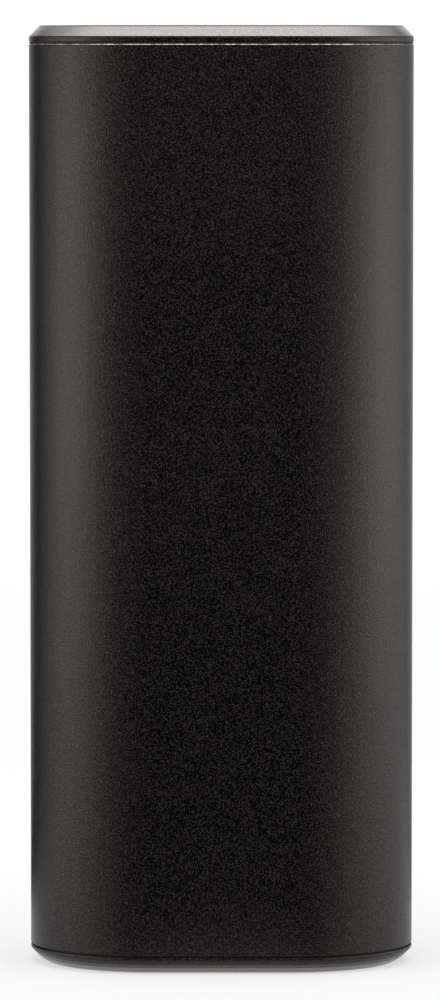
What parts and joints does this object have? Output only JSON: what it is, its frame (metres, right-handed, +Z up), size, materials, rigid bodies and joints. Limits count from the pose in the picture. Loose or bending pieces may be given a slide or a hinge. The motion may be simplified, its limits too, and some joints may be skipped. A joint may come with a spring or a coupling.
{
  "type": "hand warmer",
  "caption": "Pocket hand warmer: a flattened oval aluminium tube with chamfered black caps, a flush power button and light windows on top, and sockets underneath.",
  "frame": {"origin": "middle of the bottom cap's outer face, which the object stands on", "axes": "+Z up along the tube towards the button, +X to the right and -Y towards the viewer of the front face"},
  "size_m": [0.0426, 0.0234, 0.104],
  "materials": {
    "anodised_aluminium": "satin black anodised, fine bead-blasted grain",
    "cap_plastic": "satin black moulded plastic",
    "button_plastic": "smooth black moulded plastic",
    "silicone": "matt black silicone",
    "clear_plastic": "clear moulded light guide",
    "led_package": "white package with a yellow phosphor dome",
    "switch_metal": "pressed steel cover",
    "steel": "bright zinc-plated or stainless steel",
    "black_steel": "black oxide steel",
    "nickel": "nickel strip with weld spots",
    "cell_wrap": "shrink wrap over a steel can",
    "paper": "insulating paper",
    "heater_film": "polyimide film with an etched track",
    "foam": "thin grey foam pad",
    "carrier_plastic": "dark grey moulded plastic",
    "board": "green solder mask",
    "chip_package": "matt black moulded package",
    "ferrite": "dark grey ferrite",
    "ceramic": "tan ceramic with tinned ends",
    "socket_plastic": "black insulator",
    "ribbon_film": "white flat cable film",
    "red_wire": "red wire insulation",
    "black_wire": "black wire insulation",
    "sensor_coat": "dark blue epoxy"
  },
  "bodies": {
    "housing": {"tube_shell": "anodised_aluminium", "top_cap": "cap_plastic", "bottom_cap": "cap_plastic", "top_gasket": "silicone", "bottom_gasket": "silicone", "lanyard_pin": "steel", "switch_body": "switch_metal", "switch_board": "board", "light_guide": "clear_plastic", "led_1": "led_package", "led_2": "led_package", "led_3": "led_package", "led_4": "led_package", "carrier_front": "carrier_plastic", "carrier_rear": "carrier_plastic", "cell_left": "cell_wrap", "cell_right": "cell_wrap", "cell_insulator_left": "paper", "cell_insulator_right": "paper", "nickel_strip_top": "nickel", "nickel_strip_bottom": "nickel", "heater_front": "heater_film", "heater_rear": "heater_film", "heater_pad_front": "foam", "heater_pad_rear": "foam", "thermistor": "sensor_coat", "main_board": "board", "output_socket_shell": "steel", "output_socket_tongue": "socket_plastic", "charge_socket_shell": "steel", "charge_socket_tongue": "socket_plastic", "power_inductor": "ferrite", "charge_chip": "chip_package", "control_chip": "chip_package", "capacitor_1": "ceramic", "capacitor_2": "ceramic", "ribbon_cable": "ribbon_film", "ribbon_socket_lower": "ribbon_film", "ribbon_socket_upper": "ribbon_film", "lead_positive": "red_wire", "lead_negative": "black_wire", "heater_lead_front": "red_wire", "heater_lead_rear": "red_wire", "cap_screw_left": "black_steel", "cap_screw_right": "black_steel", "carrier_screw_lower_left": "steel", "carrier_screw_lower_right": "steel", "carrier_screw_upper_left": "steel", "carrier_screw_upper_right": "steel", "cap_clip_screw_front": "steel", "cap_clip_screw_rear": "steel", "main_board_screw_left": "steel", "main_board_screw_right": "steel", "switch_board_screw_left": "steel", "switch_board_screw_right": "steel"},
    "button": {"power_button": "button_plastic"},
    "stem": {"switch_stem": "button_plastic"}
  },
  "joints": [
    {"name": "button_press", "type": "slide", "parent": "housing", "child": "button", "axis": [0, 0, -1], "range_m": [0, 0.0004], "stiffness_N_per_m": 500},
    {"name": "switch_press", "type": "slide", "parent": "housing", "child": "stem", "axis": [0, 0, -1], "range_m": [0, 0.0004]}
  ],
  "couplings": [
    {"joint": "switch_press", "follows": "button_press", "ratio": 1}
  ]
}
